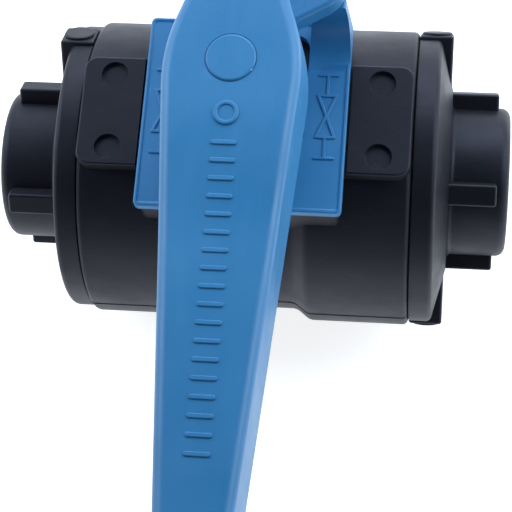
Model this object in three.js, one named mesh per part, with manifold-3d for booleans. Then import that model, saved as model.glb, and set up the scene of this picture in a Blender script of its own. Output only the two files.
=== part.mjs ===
// Quarter-turn ball valve in moulded plastic: a round body with a screwed-in connector at each end,
// a floating ball between two seats, and a long lever over a position plate.
// Millimetres. The pipe runs along X, the stem along Z, and the lever points to -Y when closed.
import * as THREE from 'three';
import { mergeVertices } from 'three/addons/utils/BufferGeometryUtils.js';
import Module from 'manifold-3d';

const wasm = await Module();
wasm.setup();

// ---------------------------------------------------------------- driving dimensions
const GAP = 0.3;
const ROUND = 40;
const SMALL_ROUND = 24;

const BODY = { radius: 29.8, halfLength: 32.05, edge: 1.1, waist: 27.6, waistHalf: 9.4, shoulder: 12.0 };
const CAVITY = { radius: 19.8, half: 17.2, socket: 24.7, inside: 15.8 };
const PAD = { halfX: 31.9, halfY: 11.2, top: 30.3, corner: 2.6, holeX: 25.8, holeY: 7.5, hole: 2.5, sink: 0.8 };
const BLOCK = { half: 19.0, top: 28.9, corner: 2.5, innerHalf: 20.1 };
const NECK = { radius: 9.2, top: 30.4, bore: 5.2, bushBore: 7.5, bushFloor: 27.0, pocket: 8.0, pocketTop: 21.0 };
const STOP = { inner: 8.8, outer: 11.2, top: 31.6, toothInner: 9.6, toothBottom: 29.5, tooth: 22, play: 3 };
const TRAVEL = 90;

const END = { face: 50.9, collarStart: 32.35, collarEnd: 36.6, collar: 28.9, edge: 0.8 };
const CONE = { end: 39.1, foot: 18.0 };
const BOSS = { radius: 15.0, rim: 1.8 };
const SPIGOT = { nose: 10.5, noseRadius: 19.5, step: 17.5, radius: 24.4 };
const SEAL = { start: 28.3, end: 30.9, floor: 22.2, section: 0.9, radius: 23.35 };
const PORT = { bore: 9.3, thread: 10.3, threadStart: 33.6, mouth: 11.1, chamfer: 0.9 };
const RIB = { count: 4, width: 4.3, outer: 18.0, end: 48.5, right: 30, left: 48.5 };
const GUSSET = { width: 7.3, outer: 29.5, end: 38.9, disc: 3.0, discRise: 0.5 };

const BALL = { radius: 16.0, slotHalf: 3.3, slotFloor: 11.5 };
const SEAT = { inner: 10.0, outer: 14.2, front: 9.2, back: 15.0 };
const SEAT_RING = { radius: 12.5, section: 0.8, x: 16.35, grooveIn: 11.3, grooveOut: 13.7, grooveEnd: 17.4 };

const STEM = { tangX: 6.2, tangY: 3.0, tangBottom: 11.9, flange: 7.7, flangeBottom: 16.7, flangeTop: 19.6 };
const SHANK = { radius: 4.9, top: 32.6, squareHalf: 3.5, squareTop: 44.0, bore: 2.3, boreFloor: 30.0 };
const STEM_RING = { groove: 3.4, half: 0.9, section: 0.55, radius: 4.25, heights: [22.9, 25.3] };
const THRUST = { inner: 5.2, outer: 7.7, bottom: 19.9, top: 20.7 };
const BUSH = { inner: 5.2, outer: 7.2, bottom: 27.3, top: 31.1 };
const INSERT = { inner: 2.3, outer: 3.0, bottom: 35.0, top: 43.6 };

const PLATE = { halfX: 19.6, halfY: 19.5, bottom: 29.2, top: 30.9, rim: 0.8, rimTop: 31.2, corner: 1.0 };
const WINDOW = { front: 12.4, halfX: 11.6, back: 16.6, corner: 2.5 };
const CLIP = { x: 15.8, y: 13.5, halfX: 1.4, halfY: 2.2, bottom: 26.4 };
const MARK = { x: 15.8, rise: 0.35, length: 13.0, height: 3.4, line: 0.7 };
const LUG = { x: 12.6, y: 20.5, radius: 4.9, hole: 3.5, bottom: 40.4, top: 42.2 };
const WALL = { left: 14.0, right: 18.7, foot: 12.0, footTop: 33.0, inner: 17.2, hollow: 8.0 };

const LEVER = { bottom: 42.6, top: 56.0, reach: 105, tail: 23, edge: 1.8, draft: 0.05, wall: 2.4, roof: 3.4 };
const HEAD = { half: 13.3, shoulder: 2.3, lean: 0.34, bend: 7.1, corner: 3.0 };
const TAPER = 0.0725;
const HUB = { radius: 11.2, bottom: 32.2, socketHalf: 3.8, roof: 44.3, web: 46.4, recess: 4.9, screwHole: 2.4 };
const EAR = { radius: 6.1, top: 47.0, lean: 31, run: 12.5 };
const CELLS = { count: 7, start: -17, end: -98, rib: 2.0 };
const GRIP = { count: 18, start: -16, end: -71, halfX: 2.3, halfY: 0.45, rise: 0.3, ring: 2.3, ringY: -10.5 };
const GRIP_RING_WIDTH = 0.7;
const SUNK = 0.3;

const WASHER = { inner: 2.4, outer: 4.5, bottom: 46.7, top: 47.6 };
const SCREW = { head: 3.8, headBottom: 47.9, headTop: 50.6, shank: 1.95, tip: 36.0, hex: 1.75, hexFloor: 49.0 };
const CAP = { radius: 4.6, edge: 56.2, dome: 56.4, bottom: 54.6, plugOuter: 4.2, plugInner: 3.2, plugBottom: 52.0 };

// ---------------------------------------------------------------- materials
function plastic(color, roughness, metalness = 0) {
  return new THREE.MeshStandardMaterial({ color, roughness, metalness });
}
const MATERIALS = {
  black: plastic(0x23232a, 0.55),
  blue: plastic(0x3d84bd, 0.45),
  plateBlue: plastic(0x3878b4, 0.5),
  ball: plastic(0x2e2f33, 0.25),
  ptfe: plastic(0xe8e6de, 0.4),
  rubber: plastic(0x161616, 0.8),
  steel: plastic(0xb9bcc0, 0.3, 1),
  brass: plastic(0xb59a4f, 0.35, 1),
};

// ---------------------------------------------------------------- solids
// A geometry becomes a solid once its shared vertices are merged and its collapsed faces are gone.
function solid(geometry) {
  const bare = geometry.clone();
  bare.deleteAttribute('normal');
  bare.deleteAttribute('uv');
  const merged = mergeVertices(bare, 1e-4);
  const index = merged.index.array;
  const faces = [];
  for (let i = 0; i < index.length; i += 3) {
    const [a, b, c] = [index[i], index[i + 1], index[i + 2]];
    if (a !== b && b !== c && c !== a) faces.push(a, b, c);
  }
  const vertProperties = new Float32Array(merged.attributes.position.array);
  const mesh = new wasm.Mesh({ numProp: 3, vertProperties, triVerts: new Uint32Array(faces) });
  const made = new wasm.Manifold(mesh);
  if (made.volume() > 0) return made;
  for (let i = 0; i < faces.length; i += 3) [faces[i], faces[i + 1]] = [faces[i + 1], faces[i]];
  return new wasm.Manifold(new wasm.Mesh({ numProp: 3, vertProperties, triVerts: new Uint32Array(faces) }));
}

function toGeometry(shape) {
  const mesh = shape.getMesh();
  const geometry = new THREE.BufferGeometry();
  geometry.setAttribute('position', new THREE.BufferAttribute(new Float32Array(mesh.vertProperties), 3));
  geometry.setIndex(new THREE.BufferAttribute(new Uint32Array(mesh.triVerts), 1));
  geometry.computeVertexNormals();
  return geometry;
}

const group = new THREE.Group();
function place(name, shape, material) {
  const mesh = new THREE.Mesh(toGeometry(shape), material);
  mesh.name = name;
  group.add(mesh);
}

// A profile is a closed list of [radius, distance along the axis].
function turned(profile, segments) {
  const points = profile.map(([radius, along]) => new THREE.Vector2(radius, along));
  points.push(points[0].clone());
  return new THREE.LatheGeometry(points, segments);
}
const turnedOnX = (profile, segments = ROUND) => solid(turned(profile, segments).rotateZ(-Math.PI / 2));
const turnedOnZ = (profile, segments = SMALL_ROUND) => solid(turned(profile, segments).rotateX(Math.PI / 2));

function ringOnZ(inner, outer, bottom, top, segments = SMALL_ROUND) {
  return turnedOnZ([[inner, bottom], [outer, bottom], [outer, top], [inner, top]], segments);
}
function rodOnZ(radius, bottom, top, x = 0, y = 0, segments = SMALL_ROUND) {
  return turnedOnZ([[0, bottom], [radius, bottom], [radius, top], [0, top]], segments).translate([x, y, 0]);
}
function box(x0, x1, y0, y1, z0, z1) {
  const geometry = new THREE.BoxGeometry(x1 - x0, y1 - y0, z1 - z0);
  return solid(geometry.translate((x0 + x1) / 2, (y0 + y1) / 2, (z0 + z1) / 2));
}
function upright(shape, bottom, top, curveSegments = 6) {
  const depth = top - bottom;
  const geometry = new THREE.ExtrudeGeometry(shape, { depth, bevelEnabled: false, curveSegments });
  return solid(geometry.translate(0, 0, bottom));
}
function roundedRectangle(halfX, halfY, corner) {
  const shape = new THREE.Shape();
  shape.absarc(halfX - corner, halfY - corner, corner, 0, Math.PI / 2);
  shape.absarc(corner - halfX, halfY - corner, corner, Math.PI / 2, Math.PI);
  shape.absarc(corner - halfX, corner - halfY, corner, Math.PI, Math.PI * 1.5);
  shape.absarc(halfX - corner, corner - halfY, corner, Math.PI * 1.5, Math.PI * 2);
  return shape;
}
function polygon(points) {
  return new THREE.Shape(points.map(([x, y]) => new THREE.Vector2(x, y)));
}
// Part of a ring in plan, from one angle to another in degrees.
function arcBand(inner, outer, from, to) {
  const start = THREE.MathUtils.degToRad(from);
  const end = THREE.MathUtils.degToRad(to);
  const shape = new THREE.Shape();
  shape.absarc(0, 0, outer, start, end, false);
  shape.absarc(0, 0, inner, end, start, true);
  return shape;
}

// ---------------------------------------------------------------- body casing
function bodyBlank() {
  const { radius, halfLength, edge, waist, waistHalf, shoulder } = BODY;
  const half = [[waist, waistHalf], [radius, shoulder]];
  for (let step = 0; step <= 3; step += 1) {
    const angle = (step / 3) * (Math.PI / 2);
    half.push([radius - edge + edge * Math.cos(angle), halfLength - edge + edge * Math.sin(angle)]);
  }
  const other = half.map(([r, x]) => [r, -x]).reverse();
  return turnedOnX([[0, -halfLength], ...other, ...half, [0, halfLength]]);
}

function bodyCavity() {
  const { radius, half, socket } = CAVITY;
  const out = BODY.halfLength + 1;
  return turnedOnX([[0, -out], [socket, -out], [socket, -half], [radius, -half],
    [radius, half], [socket, half], [socket, out], [0, out]]);
}

// The collar round the stem carries the fixed stop. Its gap is the lever's quarter turn.
function stopBand() {
  const gapStart = -STOP.tooth / 2 - STOP.play;
  const gapEnd = TRAVEL + STOP.tooth / 2 + STOP.play;
  const outline = arcBand(STOP.inner, STOP.outer, gapEnd, gapStart + 360);
  return upright(outline, BLOCK.top - 1, STOP.top, SMALL_ROUND);
}

function clipPoints() {
  return [[1, 1], [1, -1], [-1, 1], [-1, -1]].map(([sx, sy]) => [sx * CLIP.x, sy * CLIP.y]);
}

function bodyCasing() {
  const pad = upright(roundedRectangle(PAD.halfX, PAD.halfY, PAD.corner), CAVITY.inside, PAD.top);
  const block = upright(roundedRectangle(BLOCK.half, BLOCK.half, BLOCK.corner), CAVITY.inside, BLOCK.top);
  const reach = BLOCK.half + BLOCK.corner;
  const platform = box(-BLOCK.innerHalf, BLOCK.innerHalf, -reach, reach, BLOCK.top, PAD.top + 1);
  let body = bodyBlank().add(pad).subtract(platform).add(block);
  body = body.add(rodOnZ(NECK.radius, BLOCK.top - 1, NECK.top)).add(stopBand());
  body = body.subtract(bodyCavity());
  body = body.subtract(rodOnZ(NECK.pocket, 0, NECK.pocketTop));
  body = body.subtract(rodOnZ(NECK.bore, 0, STOP.top));
  body = body.subtract(rodOnZ(NECK.bushBore, NECK.bushFloor, STOP.top));
  for (const side of [-1, 1]) {
    for (const end of [-1, 1]) {
      const x = end * PAD.holeX;
      const y = side * PAD.holeY;
      body = body.subtract(rodOnZ(PAD.hole, PAD.top - PAD.sink, PAD.top + 1, x, y, 24));
    }
  }
  for (const [x, y] of clipPoints()) {
    const hx = CLIP.halfX + GAP;
    const hy = CLIP.halfY + GAP;
    body = body.subtract(box(x - hx, x + hx, y - hy, y + hy, CLIP.bottom - GAP, PLATE.bottom));
  }
  return body;
}

// ---------------------------------------------------------------- end connectors (made on +X)
function connectorTurning() {
  const rim = [];
  for (let step = 0; step <= 3; step += 1) {
    const angle = (step / 3) * (Math.PI / 2);
    rim.push([BOSS.radius - BOSS.rim * (1 - Math.cos(angle)), END.face - BOSS.rim * (1 - Math.sin(angle))]);
  }
  return turnedOnX([
    [SEAT.outer + GAP, SPIGOT.nose], [SPIGOT.noseRadius, SPIGOT.nose], [SPIGOT.noseRadius, SPIGOT.step],
    [SPIGOT.radius, SPIGOT.step], [SPIGOT.radius, SEAL.start], [SEAL.floor, SEAL.start],
    [SEAL.floor, SEAL.end], [SPIGOT.radius, SEAL.end], [SPIGOT.radius, END.collarStart],
    [END.collar - END.edge, END.collarStart], [END.collar, END.collarStart + END.edge],
    [END.collar, END.collarEnd - END.edge], [END.collar - END.edge, END.collarEnd],
    [CONE.foot, CONE.end], [BOSS.radius, CONE.end], ...rim,
    [PORT.mouth, END.face], [PORT.thread, END.face - PORT.chamfer], [PORT.thread, PORT.threadStart],
    [PORT.bore, PORT.threadStart], [PORT.bore, SEAT.back + GAP], [SEAT_RING.grooveIn, SEAT.back + GAP],
    [SEAT_RING.grooveIn, SEAT_RING.grooveEnd], [SEAT_RING.grooveOut, SEAT_RING.grooveEnd],
    [SEAT_RING.grooveOut, SEAT.back + GAP], [SEAT.outer + GAP, SEAT.back + GAP],
  ]);
}

function connector(ribAngle) {
  const buried = (BOSS.radius + PORT.thread) / 2;
  let made = connectorTurning();
  for (let i = 0; i < RIB.count; i += 1) {
    const angle = ribAngle + (i * 360) / RIB.count;
    const half = RIB.width / 2;
    const rib = box(END.collarEnd, RIB.end, -half, half, buried, RIB.outer);
    made = made.add(rib.rotate([angle, 0, 0]));
  }
  for (const turn of [90, 270]) {
    const half = GUSSET.width / 2;
    const web = box(END.collarStart, GUSSET.end, -half, half, buried, GUSSET.outer);
    const middle = (END.collarStart + GUSSET.end) / 2;
    const disc = rodOnZ(GUSSET.disc, GUSSET.outer - 1, GUSSET.outer + GUSSET.discRise, middle, 0, 20);
    made = made.add(web.add(disc).rotate([ribAngle + turn, 0, 0]));
  }
  return made;
}

// ---------------------------------------------------------------- ball and its seats
function ball() {
  const sphere = solid(new THREE.SphereGeometry(BALL.radius, 36, 18).rotateX(Math.PI / 2));
  const bore = solid(new THREE.CylinderGeometry(PORT.bore, PORT.bore, BALL.radius * 3, 40));
  const over = BALL.radius + 1;
  const slot = box(-over, over, -BALL.slotHalf, BALL.slotHalf, BALL.slotFloor, over);
  return sphere.subtract(bore).subtract(slot);
}

// The seat's face follows the ball, a gap away from it.
function ballSeat() {
  const face = [];
  const steps = 4;
  const clear = BALL.radius + GAP;
  for (let step = 0; step <= steps; step += 1) {
    const radius = SEAT.inner + ((SEAT.outer - 0.7 - SEAT.inner) * step) / steps;
    face.push([radius, Math.sqrt(clear * clear - radius * radius)]);
  }
  return turnedOnX([...face, [SEAT.outer, SEAT.front], [SEAT.outer, SEAT.back], [SEAT.inner, SEAT.back]], 28);
}

function ringOnX(radius, section, x) {
  return solid(new THREE.TorusGeometry(radius, section, 6, 28).rotateY(Math.PI / 2).translate(x, 0, 0));
}
function ringAtZ(radius, section, z) {
  return solid(new THREE.TorusGeometry(radius, section, 6, 18).translate(0, 0, z));
}

// ---------------------------------------------------------------- stem
function stem() {
  const profile = [[0, STEM.flangeBottom], [STEM.flange, STEM.flangeBottom], [STEM.flange, STEM.flangeTop],
    [SHANK.radius, STEM.flangeTop]];
  for (const z of STEM_RING.heights) {
    profile.push([SHANK.radius, z - STEM_RING.half], [STEM_RING.groove, z - STEM_RING.half]);
    profile.push([STEM_RING.groove, z + STEM_RING.half], [SHANK.radius, z + STEM_RING.half]);
  }
  profile.push([SHANK.radius, SHANK.top], [0, SHANK.top]);
  const half = SHANK.squareHalf;
  const tang = box(-STEM.tangX, STEM.tangX, -STEM.tangY, STEM.tangY, STEM.tangBottom, STEM.flangeBottom + 1);
  const square = box(-half, half, -half, half, SHANK.top - 1, SHANK.squareTop);
  let made = turnedOnZ(profile).add(tang).add(square);
  made = made.subtract(rodOnZ(SHANK.bore, SHANK.boreFloor, SHANK.squareTop + 1, 0, 0, 20));
  const insertBore = INSERT.outer + GAP;
  return made.subtract(rodOnZ(insertBore, INSERT.bottom - GAP, SHANK.squareTop + 1, 0, 0, 20));
}

// ---------------------------------------------------------------- position plate
// The window is square at the back and round at the front, where it follows the stop band.
function plateWindow() {
  const { front, halfX, back, corner } = WINDOW;
  const [low, high] = [PLATE.bottom - 1, PLATE.rimTop + 1];
  const square = upright(roundedRectangle(halfX, back, corner), low, high);
  const kept = rodOnZ(front, low, high, 0, 0, 48).add(box(-halfX, halfX, 0, back, low, high));
  return square.intersect(kept);
}

// The usual sign of a shut valve: a bow tie on a pipe line, with a bar across each end.
function valveSign(x) {
  const half = MARK.length / 2;
  const wing = MARK.length / 4;
  const rise = [PLATE.top - SUNK, PLATE.top + MARK.rise];
  const h = MARK.height / 2;
  const line = MARK.line / 2;
  const bow = polygon([[-h, wing], [h, wing], [line, 0], [h, -wing], [-h, -wing], [-line, 0]]);
  let sign = upright(bow, ...rise);
  sign = sign.add(box(-line, line, wing - line, half, ...rise));
  sign = sign.add(box(-line, line, -half, line - wing, ...rise));
  sign = sign.add(box(-h, h, half - MARK.line, half, ...rise));
  sign = sign.add(box(-h, h, -half, MARK.line - half, ...rise));
  return sign.translate([x, 0, 0]);
}

// The wall at the back corner holds the fixed half of the padlock eye under the lever's ear.
// It grows out of the plate in a hollow curve.
function lockWall() {
  const foot = PLATE.bottom + 1;
  const outline = polygon([[WALL.foot, foot], [PLATE.halfX, foot], [WALL.right, LUG.top],
    [WALL.left, LUG.top], [WALL.foot, WALL.footTop]]);
  const depth = PLATE.halfY - WALL.inner + WALL.hollow;
  const wall = new THREE.ExtrudeGeometry(outline, { depth, bevelEnabled: false });
  wall.rotateX(Math.PI / 2).translate(0, PLATE.halfY, 0);
  const side = new THREE.Shape();
  side.moveTo(PLATE.halfY, PLATE.bottom);
  side.lineTo(PLATE.halfY, LUG.top);
  side.lineTo(WALL.inner, LUG.top);
  side.absarc(WALL.inner - WALL.hollow, PLATE.top + WALL.hollow, WALL.hollow, 0, -Math.PI / 2, true);
  side.lineTo(WALL.inner - WALL.hollow, PLATE.bottom);
  const across = { depth: PLATE.halfX, bevelEnabled: false, curveSegments: 6 };
  const slab = new THREE.ExtrudeGeometry(side, across);
  slab.rotateX(Math.PI / 2).rotateZ(Math.PI / 2);
  const lug = rodOnZ(LUG.radius, LUG.bottom, LUG.top, LUG.x, LUG.y);
  const eye = rodOnZ(LUG.hole, WALL.footTop, LUG.top + 1, LUG.x, LUG.y);
  return solid(wall).intersect(solid(slab)).add(lug).subtract(eye);
}

function positionPlate() {
  const { halfX, halfY, corner, rim } = PLATE;
  let plate = upright(roundedRectangle(halfX, halfY, corner), PLATE.bottom, PLATE.rimTop);
  const sunk = roundedRectangle(halfX - rim, halfY - rim, corner * 0.6);
  plate = plate.subtract(upright(sunk, PLATE.top, PLATE.rimTop + 1)).subtract(plateWindow());
  plate = plate.add(valveSign(MARK.x)).add(valveSign(-MARK.x)).add(lockWall());
  const clip = box(-CLIP.halfX, CLIP.halfX, -CLIP.halfY, CLIP.halfY, CLIP.bottom, PLATE.top - SUNK);
  for (const [x, y] of clipPoints()) {
    plate = plate.add(clip.translate([x, y, 0]));
  }
  return plate;
}

// ---------------------------------------------------------------- lever
const leverHalf = (y) => HEAD.half + TAPER * y;

// Half of the bar's outline, from its tail round the shoulder to where the long taper begins.
function headCurve(side) {
  const { shoulder, lean, bend, corner } = HEAD;
  const at = (x, y) => new THREE.Vector2(side * x, y);
  const headHalf = (y) => leverHalf(shoulder) - lean * (y - shoulder);
  const onHead = (y) => at(headHalf(y), y);
  const curve = new THREE.CurvePath();
  const tail = LEVER.tail;
  const cornerStart = at(headHalf(tail) - corner, tail);
  curve.add(new THREE.QuadraticBezierCurve(cornerStart, onHead(tail), onHead(tail - corner)));
  curve.add(new THREE.LineCurve(onHead(tail - corner), onHead(shoulder + bend)));
  const taperStart = shoulder - bend;
  curve.add(new THREE.QuadraticBezierCurve(onHead(shoulder + bend), at(leverHalf(shoulder), shoulder),
    at(leverHalf(taperStart), taperStart)));
  return curve.getPoints(5);
}

function leverOutline() {
  const tipRadius = leverHalf(-LEVER.reach);
  const shape = new THREE.Shape([...headCurve(-1), new THREE.Vector2(-tipRadius, tipRadius - LEVER.reach)]);
  shape.absarc(0, tipRadius - LEVER.reach, tipRadius, Math.PI, Math.PI * 2, false);
  for (const point of headCurve(1).reverse()) shape.lineTo(point.x, point.y);
  return shape;
}

// The bar is drawn in towards its top, so that its sides lean as a moulding's do.
function leverBar() {
  const { bottom, top, edge, draft } = LEVER;
  const spare = 1;
  const depth = top - bottom - edge + spare;
  const bevel = { bevelThickness: edge, bevelSize: edge, bevelOffset: -edge, bevelSegments: 3 };
  const bar = new THREE.ExtrudeGeometry(leverOutline(), { depth, ...bevel, curveSegments: 8 });
  bar.translate(0, 0, bottom - spare);
  const corners = bar.attributes.position;
  for (let i = 0; i < corners.count; i += 1) {
    const lift = corners.getZ(i) - bottom;
    corners.setX(i, corners.getX(i) * (1 - (lift * draft) / HEAD.half));
  }
  const wide = HEAD.half * 2;
  const below = bottom - edge - spare - 1;
  return solid(bar).subtract(box(-wide, wide, -LEVER.reach - 1, LEVER.tail + 1, below, bottom));
}

// The underside is cored out in cells, with a cross rib between each two.
function leverCells() {
  const { count, start, end, rib } = CELLS;
  const pitch = (start - end) / count;
  const cells = [];
  for (let i = 0; i < count; i += 1) {
    const near = start - i * pitch - rib / 2;
    const far = start - (i + 1) * pitch + rib / 2;
    const nearHalf = leverHalf(near) - LEVER.wall - 1;
    const farHalf = leverHalf(far) - LEVER.wall - 1;
    const outline = polygon([[nearHalf, near], [-nearHalf, near], [-farHalf, far], [farHalf, far]]);
    cells.push(upright(outline, LEVER.bottom - 1, LEVER.top - LEVER.roof));
  }
  return wasm.Manifold.union(cells);
}

// The ear's front edge runs straight off the head and meets its round end as a tangent.
function padlockEar() {
  const lean = THREE.MathUtils.degToRad(EAR.lean);
  const tangentX = LUG.x + EAR.radius * Math.sin(lean);
  const tangentY = LUG.y - EAR.radius * Math.cos(lean);
  const root = [tangentX - EAR.run * Math.cos(lean), tangentY - EAR.run * Math.sin(lean)];
  const back = EAR.radius * Math.SQRT1_2;
  const behind = [LUG.x - back, LUG.y + back];
  const web = polygon([root, [tangentX, tangentY], [LUG.x, LUG.y], behind, [root[0], LUG.y]]);
  const disc = rodOnZ(EAR.radius, LEVER.bottom, EAR.top, LUG.x, LUG.y);
  return upright(web, LEVER.bottom, EAR.top).add(disc);
}

// Raised cross bars for the thumb, and a plain ring between them and the cap.
function leverGrip() {
  const { count, start, end, halfX, halfY, rise, ring, ringY } = GRIP;
  const [low, high] = [LEVER.top - SUNK, LEVER.top + rise];
  const bars = [ringOnZ(ring - GRIP_RING_WIDTH, ring, low, high, 20).translate([0, ringY, 0])];
  for (let i = 0; i < count; i += 1) {
    const y = start + ((end - start) * i) / (count - 1);
    bars.push(box(-halfX, halfX, y - halfY, y + halfY, low, high));
  }
  return wasm.Manifold.union(bars);
}

// The tooth under the hub runs in the gap of the body's stop band.
function stopTooth() {
  const half = STOP.tooth / 2;
  return upright(arcBand(STOP.toothInner, STOP.outer, -half, half), STOP.toothBottom, HUB.bottom + 1);
}

function lever() {
  const half = HUB.socketHalf;
  let made = leverBar().add(rodOnZ(HUB.radius, HUB.bottom, LEVER.bottom + 1)).add(padlockEar());
  made = made.subtract(leverCells()).add(leverGrip()).add(stopTooth());
  made = made.subtract(box(-half, half, -half, half, HUB.bottom - 1, HUB.roof));
  made = made.subtract(rodOnZ(SHANK.radius + GAP, HUB.bottom - 1, SHANK.top + GAP));
  made = made.subtract(rodOnZ(HUB.screwHole, HUB.roof - 1, HUB.web + 1, 0, 0, 20));
  made = made.subtract(rodOnZ(HUB.recess, HUB.web, LEVER.top + 1));
  return made.subtract(rodOnZ(LUG.hole, LEVER.bottom - 1, EAR.top + 1, LUG.x, LUG.y));
}

// ---------------------------------------------------------------- lever fastening
function leverScrew() {
  const { head, headBottom, headTop, shank, tip, hex, hexFloor } = SCREW;
  const dome = [[0, tip], [shank, tip], [shank, headBottom], [head, headBottom], [head, headTop - 1],
    [head - 0.8, headTop], [0, headTop]];
  return turnedOnZ(dome, 24).subtract(rodOnZ(hex, hexFloor, headTop + 1, 0, 0, 6));
}

function screwCap() {
  const { radius, edge, dome, bottom, plugOuter, plugInner, plugBottom } = CAP;
  return turnedOnZ([[0, bottom], [plugInner, bottom], [plugInner, plugBottom], [plugOuter, plugBottom],
    [plugOuter, bottom], [radius, bottom], [radius, edge], [radius * 0.8, dome - 0.15], [0, dome]]);
}

// ---------------------------------------------------------------- assembly
place('body_casing', bodyCasing(), MATERIALS.black);
place('ball', ball(), MATERIALS.ball);
for (const [side, turn, ribAngle] of [['right', 0, RIB.right], ['left', 180, RIB.left]]) {
  // Turning the left parts about Z keeps them solid. A mirror would turn their faces inside out.
  const spin = (shape) => shape.rotate([0, 0, turn]);
  const facing = turn === 0 ? ribAngle : -ribAngle;
  place(`${side}_end_connector`, spin(connector(facing)), MATERIALS.black);
  const bodyRing = ringOnX(SEAL.radius, SEAL.section, (SEAL.start + SEAL.end) / 2);
  const seatRing = ringOnX(SEAT_RING.radius, SEAT_RING.section, SEAT_RING.x);
  place(`${side}_body_o_ring`, spin(bodyRing), MATERIALS.rubber);
  place(`${side}_ball_seat`, spin(ballSeat()), MATERIALS.ptfe);
  place(`${side}_seat_o_ring`, spin(seatRing), MATERIALS.rubber);
}
place('stem', stem(), MATERIALS.ball);
place('stem_thrust_washer', ringOnZ(THRUST.inner, THRUST.outer, THRUST.bottom, THRUST.top), MATERIALS.ptfe);
STEM_RING.heights.forEach((height, i) => {
  const name = `stem_o_ring_${i === 0 ? 'lower' : 'upper'}`;
  place(name, ringAtZ(STEM_RING.radius, STEM_RING.section, height), MATERIALS.rubber);
});
place('stem_bush', ringOnZ(BUSH.inner, BUSH.outer, BUSH.bottom, BUSH.top), MATERIALS.ptfe);
place('stem_insert', ringOnZ(INSERT.inner, INSERT.outer, INSERT.bottom, INSERT.top, 20), MATERIALS.brass);
place('position_plate', positionPlate(), MATERIALS.plateBlue);
place('lever', lever(), MATERIALS.blue);
place('lever_washer', ringOnZ(WASHER.inner, WASHER.outer, WASHER.bottom, WASHER.top, 24), MATERIALS.steel);
place('lever_screw', leverScrew(), MATERIALS.steel);
place('screw_cap', screwCap(), MATERIALS.blue);

export default group;
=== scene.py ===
"""The looks of a lever operated ball valve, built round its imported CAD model.

The pipe runs along X, the stem along Z, and the lever points to -Y when the valve is closed.
Lengths are millimetres until a mesh is made, and MM turns them into metres.
"""
import math

import bmesh
import bpy
from mathutils import Matrix, Vector


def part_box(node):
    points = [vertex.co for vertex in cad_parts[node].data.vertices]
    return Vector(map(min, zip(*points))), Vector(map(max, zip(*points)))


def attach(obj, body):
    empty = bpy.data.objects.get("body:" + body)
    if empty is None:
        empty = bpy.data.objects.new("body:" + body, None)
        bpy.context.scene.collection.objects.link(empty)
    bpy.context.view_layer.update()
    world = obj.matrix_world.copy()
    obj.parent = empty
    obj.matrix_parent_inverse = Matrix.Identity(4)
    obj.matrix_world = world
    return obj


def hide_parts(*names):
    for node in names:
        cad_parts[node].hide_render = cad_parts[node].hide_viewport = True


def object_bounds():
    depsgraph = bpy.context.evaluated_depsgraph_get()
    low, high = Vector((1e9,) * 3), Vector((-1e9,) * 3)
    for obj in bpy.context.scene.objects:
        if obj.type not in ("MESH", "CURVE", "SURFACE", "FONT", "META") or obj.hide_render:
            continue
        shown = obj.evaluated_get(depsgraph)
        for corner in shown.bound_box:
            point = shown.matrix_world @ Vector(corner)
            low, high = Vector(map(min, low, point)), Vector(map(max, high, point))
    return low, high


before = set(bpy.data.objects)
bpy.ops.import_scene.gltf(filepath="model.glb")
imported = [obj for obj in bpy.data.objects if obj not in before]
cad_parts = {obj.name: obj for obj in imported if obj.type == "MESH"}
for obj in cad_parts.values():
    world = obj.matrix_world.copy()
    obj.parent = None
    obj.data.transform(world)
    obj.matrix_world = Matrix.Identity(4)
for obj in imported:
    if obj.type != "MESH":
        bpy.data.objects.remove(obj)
cad_low, cad_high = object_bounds()

MM = 0.001
AROUND = 144
ALONG_X = Matrix.Rotation(math.radians(90), 4, "Y")


# ------------------------------------------------------------------ sizes that come from the frame
def node_box(node):
    """A CAD node's lowest and highest corners, in millimetres."""
    low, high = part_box(node)
    return Vector(low) / MM, Vector(high) / MM


body_high = node_box("body_casing")[1]
end_high = node_box("right_end_connector")[1]
plate_low, plate_high = node_box("position_plate")
lever_low, lever_high = node_box("lever")
cap_high = node_box("screw_cap")[1]
ball_high = node_box("ball")[1]

BODY_RADIUS = body_high.y
BODY_HALF = body_high.x
END_FACE = end_high.x
BALL_RADIUS = ball_high.x
PLATE_HALF_X = plate_high.x
PLATE_HALF_Y = -plate_low.y
LEVER_REACH = -lever_low.y
LEVER_TAIL = lever_high.y


# ------------------------------------------------------------------ outlines
def soften(corners, closed=False, steps=5):
    """An outline from corners (a, b, radius), with each corner that has a radius turned into an arc."""
    path = []
    for i, (a, b, radius) in enumerate(corners):
        here = Vector((a, b))
        is_end = not closed and i in (0, len(corners) - 1)
        if radius == 0 or is_end:
            path.append(here)
            continue
        back = (Vector(corners[i - 1][:2]) - here).normalized()
        on = (Vector(corners[(i + 1) % len(corners)][:2]) - here).normalized()
        half = back.angle(on) / 2
        centre = here + (back + on).normalized() * radius / math.sin(half)
        start = here + back * radius / math.tan(half) - centre
        end = here + on * radius / math.tan(half) - centre
        turn = math.atan2(start.x * end.y - start.y * end.x, start.dot(end))
        for step in range(steps + 1):
            angle = turn * step / steps
            cos, sin = math.cos(angle), math.sin(angle)
            path.append(centre + Vector((start.x * cos - start.y * sin, start.x * sin + start.y * cos)))
    return path


def arc(x, y, radius, start, end, steps):
    """Points on an arc, with its angles in degrees."""
    angles = [math.radians(start + (end - start) * i / steps) for i in range(steps + 1)]
    return [Vector((x + radius * math.cos(a), y + radius * math.sin(a))) for a in angles]


def circle(x, y, radius, steps=48):
    return arc(x, y, radius, 0, 360, steps)[:-1]


def rectangle(x0, x1, y0, y1, corner, steps=5):
    corners = [(x1, y1, corner), (x0, y1, corner), (x0, y0, corner), (x1, y0, corner)]
    return soften(corners, closed=True, steps=steps)


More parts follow.
